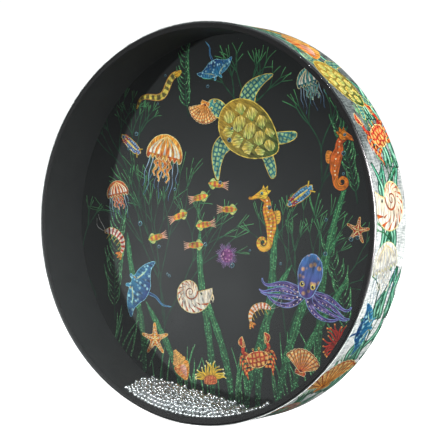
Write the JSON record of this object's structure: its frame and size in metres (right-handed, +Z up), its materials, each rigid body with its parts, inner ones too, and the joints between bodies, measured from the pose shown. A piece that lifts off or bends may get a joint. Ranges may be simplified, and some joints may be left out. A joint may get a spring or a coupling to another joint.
{
  "type": "ocean drum",
  "caption": "Shallow round double-headed frame drum with a clear front head, a printed back head and loose steel shot inside that rolls with a surf-like hiss.",
  "frame": {"origin": "lowest point of the rim, in the middle of the drum's depth", "axes": "+Z up with the drum standing on its rim, +Y along the drum's axis from the clear front head to the printed back head, +X to the right as seen from the clear head"},
  "size_m": [0.4064, 0.0642, 0.4064],
  "materials": {
    "shell": "black-dyed resin-bonded fibre, matt, smooth rounded bearing edges",
    "wrap": "printed cloth-like sheet, cross-hatched grey-green ground with undersea plants, satin",
    "clear_film": "clear polyester film, glossy, stretched tight",
    "printed_film": "polyester film with a printed undersea scene on black, satin",
    "shot": "bright plated steel balls"
  },
  "bodies": {
    "drum": {"shell": "shell", "wrap": "wrap", "front_head": "clear_film", "back_head": "printed_film"},
    "shot": {"shot_middle_1": "shot", "shot_middle_2": "shot", "shot_middle_3": "shot", "shot_middle_4": "shot"},
    "shot_left": {"shot_left_1": "shot", "shot_left_2": "shot", "shot_left_3": "shot", "shot_left_4": "shot"},
    "shot_right": {"shot_right_1": "shot", "shot_right_2": "shot", "shot_right_3": "shot", "shot_right_4": "shot"},
    "loose_ball_1": {"loose_ball_1": "shot"},
    "loose_ball_2": {"loose_ball_2": "shot"},
    "loose_ball_3": {"loose_ball_3": "shot"},
    "loose_ball_4": {"loose_ball_4": "shot"},
    "loose_ball_5": {"loose_ball_5": "shot"},
    "loose_ball_6": {"loose_ball_6": "shot"},
    "rim_ball_1": {"rim_ball_1": "shot"},
    "rim_ball_2": {"rim_ball_2": "shot"},
    "rim_ball_3": {"rim_ball_3": "shot"}
  },
  "joints": [
    {"name": "shot_roll", "type": "hinge", "parent": "drum", "child": "shot", "pos_m": [0, 0, 0.2032], "axis": [0, -1, 0], "continuous": true},
    {"name": "shot_left_roll", "type": "hinge", "parent": "shot", "child": "shot_left", "pos_m": [0, 0, 0.2032], "axis": [0, -1, 0], "range_deg": [-100, 0]},
    {"name": "shot_right_roll", "type": "hinge", "parent": "shot", "child": "shot_right", "pos_m": [0, 0, 0.2032], "axis": [0, -1, 0], "range_deg": [0, 100]},
    {"name": "loose_1_slide", "type": "slide", "parent": "shot", "child": "loose_ball_1", "axis": [0, 0, 1], "range_m": [0, 0.369]},
    {"name": "loose_2_slide", "type": "slide", "parent": "shot", "child": "loose_ball_2", "axis": [0, 0, 1], "range_m": [0, 0.371]},
    {"name": "loose_3_slide", "type": "slide", "parent": "shot", "child": "loose_ball_3", "axis": [0, 0, 1], "range_m": [0, 0.371]},
    {"name": "loose_4_slide", "type": "slide", "parent": "shot", "child": "loose_ball_4", "axis": [0, 0, 1], "range_m": [0, 0.374]},
    {"name": "loose_5_slide", "type": "slide", "parent": "shot", "child": "loose_ball_5", "axis": [0, 0, 1], "range_m": [0, 0.37]},
    {"name": "loose_6_slide", "type": "slide", "parent": "shot", "child": "loose_ball_6", "axis": [0, 0, 1], "range_m": [0, 0.372]},
    {"name": "rim_1_roll", "type": "hinge", "parent": "shot_right", "child": "rim_ball_1", "pos_m": [0, 0, 0.2032], "axis": [0, -1, 0], "range_deg": [0, 100]},
    {"name": "rim_2_roll", "type": "hinge", "parent": "shot_right", "child": "rim_ball_2", "pos_m": [0, 0, 0.2032], "axis": [0, -1, 0], "range_deg": [0, 100]},
    {"name": "rim_3_roll", "type": "hinge", "parent": "shot_right", "child": "rim_ball_3", "pos_m": [0, 0, 0.2032], "axis": [0, -1, 0], "range_deg": [0, 100]}
  ]
}
